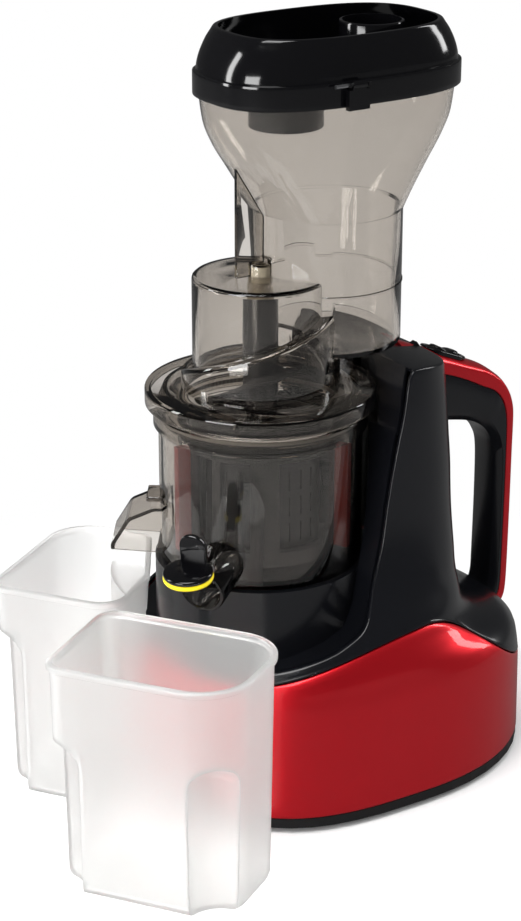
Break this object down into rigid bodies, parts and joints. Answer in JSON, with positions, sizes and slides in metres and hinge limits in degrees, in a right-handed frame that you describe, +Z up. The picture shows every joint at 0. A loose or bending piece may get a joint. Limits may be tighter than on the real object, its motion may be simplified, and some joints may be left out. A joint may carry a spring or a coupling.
{
  "type": "cold press juicer",
  "caption": "Upright slow juicer: geared motor base with handle, juice bowl, strainer, auger, wide feed drum, tray and two cups.",
  "frame": {"origin": "middle of the whole object's footprint, on the table", "axes": "+Z up; -Y towards the front, where both outlets and cups are; +Y towards the handle"},
  "size_m": [0.2586, 0.3694, 0.4546],
  "materials": {
    "black_gloss": "glossy black moulding",
    "black_satin": "satin black moulding",
    "red_lacquer": "metallic red lacquer under clear coat",
    "base_black": "matte black moulding",
    "smoke_clear": "clear moulding with a brown-grey smoke tint",
    "frosted_white": "translucent frosted white moulding",
    "seal_red": "dark red silicone",
    "seal_yellow": "yellow silicone",
    "seal_clear": "grey silicone",
    "foot_rubber": "black rubber",
    "steel": "turned and ground steel",
    "screen_steel": "etched stainless screen",
    "lamination": "stacked steel laminations",
    "cast_alloy": "die-cast alloy",
    "copper_wire": "enamelled copper wire",
    "pinion_brass": "cut brass",
    "gear_nylon": "natural nylon",
    "board_green": "solder-masked circuit board"
  },
  "bodies": {
    "base": {"base_plate": "base_black", "rubber_feet": "foot_rubber", "base_screws": "steel", "lower_shell": "red_lacquer", "cord_bushing": "black_satin", "upper_housing": "black_gloss", "handle_core": "black_gloss", "handle_trim": "red_lacquer", "switch_bezel": "black_satin", "switch_block": "base_black", "control_board": "board_green", "board_parts": "base_black", "safety_switch": "base_black", "stator_core": "lamination", "stator_windings": "copper_wire", "motor_bracket": "cast_alloy", "motor_bearings": "steel", "gearbox_floor": "cast_alloy", "gearbox_cover": "cast_alloy", "gearbox_screws": "steel", "layshaft": "steel", "shaft_bearings": "steel", "shaft_seal": "seal_red"},
    "motor_rotor": {"rotor_core": "lamination", "motor_shaft": "steel", "cooling_fan": "base_black", "motor_pinion": "pinion_brass"},
    "reduction_gear": {"first_gear": "gear_nylon", "second_pinion": "steel"},
    "drive": {"output_gear": "gear_nylon", "drive_shaft": "steel"},
    "rocker": {"switch_rocker": "black_satin"},
    "bowl": {"juice_bowl": "smoke_clear", "juice_spout": "smoke_clear", "pulp_chute": "smoke_clear", "bowl_seal": "seal_red", "residue_plug": "foot_rubber", "idler_pin": "steel", "cap_pin": "steel"},
    "idler": {"brush_idler": "gear_nylon"},
    "cap": {"spout_cap": "black_gloss", "spout_seal": "seal_yellow"},
    "strainer": {"strainer_frame": "black_satin", "strainer_mesh": "screen_steel"},
    "brush": {"brush_frame": "black_satin", "wiper_strips": "seal_red"},
    "auger": {"auger_hub": "black_satin", "auger_gear": "gear_nylon", "hex_socket": "steel", "auger_pin": "steel"},
    "drum": {"hopper_drum": "smoke_clear", "feed_hopper": "smoke_clear", "drum_bushing": "gear_nylon", "drum_seal": "seal_clear"},
    "tray": {"feed_tray": "black_gloss", "latch_pin": "steel"},
    "latch": {"tray_latch": "black_gloss"},
    "juice_cup": {"juice_cup": "frosted_white"},
    "pulp_cup": {"pulp_cup": "frosted_white"}
  },
  "joints": [
    {"name": "motor_spin", "type": "hinge", "parent": "base", "child": "motor_rotor", "pos_m": [-0.02182, 0.08272, 0.06], "axis": [0, 0, 1], "continuous": true},
    {"name": "reduction_spin", "type": "hinge", "parent": "base", "child": "reduction_gear", "pos_m": [-0.02182, 0.04672, 0.1], "axis": [0, 0, 1], "continuous": true},
    {"name": "drive_spin", "type": "hinge", "parent": "base", "child": "drive", "pos_m": [-0.02182, -0.00078, 0.12], "axis": [0, 0, 1], "continuous": true},
    {"name": "rocker_tilt", "type": "hinge", "parent": "base", "child": "rocker", "pos_m": [-0.02182, 0.13247, 0.23855], "axis": [1, 0, 0], "range_deg": [-12, 12], "stiffness_Nm_per_rad": 0.02},
    {"name": "bowl_lift", "type": "slide", "parent": "base", "child": "bowl", "axis": [0, 0, 1], "range_m": [0, 0.12]},
    {"name": "idler_spin", "type": "hinge", "parent": "bowl", "child": "idler", "pos_m": [-0.02182, 0.02047, 0.146], "axis": [0, 0, 1], "continuous": true},
    {"name": "cap_swing", "type": "hinge", "parent": "bowl", "child": "cap", "pos_m": [0.03034, -0.07527, 0.16474], "axis": [0.8192, 0.5736, 0], "range_deg": [0, 94]},
    {"name": "strainer_lift", "type": "slide", "parent": "bowl", "child": "strainer", "axis": [0, 0, 1], "range_m": [0, 0.1]},
    {"name": "brush_spin", "type": "hinge", "parent": "strainer", "child": "brush", "pos_m": [-0.02182, -0.00078, 0.15], "axis": [0, 0, 1], "continuous": true},
    {"name": "auger_spin", "type": "hinge", "parent": "strainer", "child": "auger", "pos_m": [-0.02182, -0.00078, 0.2], "axis": [0, 0, 1], "continuous": true},
    {"name": "drum_lift", "type": "slide", "parent": "strainer", "child": "drum", "axis": [0, 0, 1], "range_m": [0, 0.12]},
    {"name": "tray_lift", "type": "slide", "parent": "drum", "child": "tray", "axis": [0, 0, 1], "range_m": [0, 0.06]},
    {"name": "latch_swing", "type": "hinge", "parent": "tray", "child": "latch", "pos_m": [0.03119, 0.02922, 0.4298], "axis": [0, -1, 0], "range_deg": [0, 60]},
    {"name": "juice_cup_slide", "type": "slide", "parent": "base", "child": "juice_cup", "axis": [0.5736, -0.8192, 0], "range_m": [0, 0.08]},
    {"name": "pulp_cup_slide", "type": "slide", "parent": "base", "child": "pulp_cup", "axis": [-0.8192, -0.5736, 0], "range_m": [0, 0.06]}
  ],
  "couplings": [
    {"joint": "reduction_spin", "follows": "motor_spin", "ratio": -0.2},
    {"joint": "drive_spin", "follows": "motor_spin", "ratio": 0.0375},
    {"joint": "auger_spin", "follows": "motor_spin", "ratio": 0.0375},
    {"joint": "idler_spin", "follows": "motor_spin", "ratio": -0.053571},
    {"joint": "brush_spin", "follows": "motor_spin", "ratio": -0.015625}
  ]
}
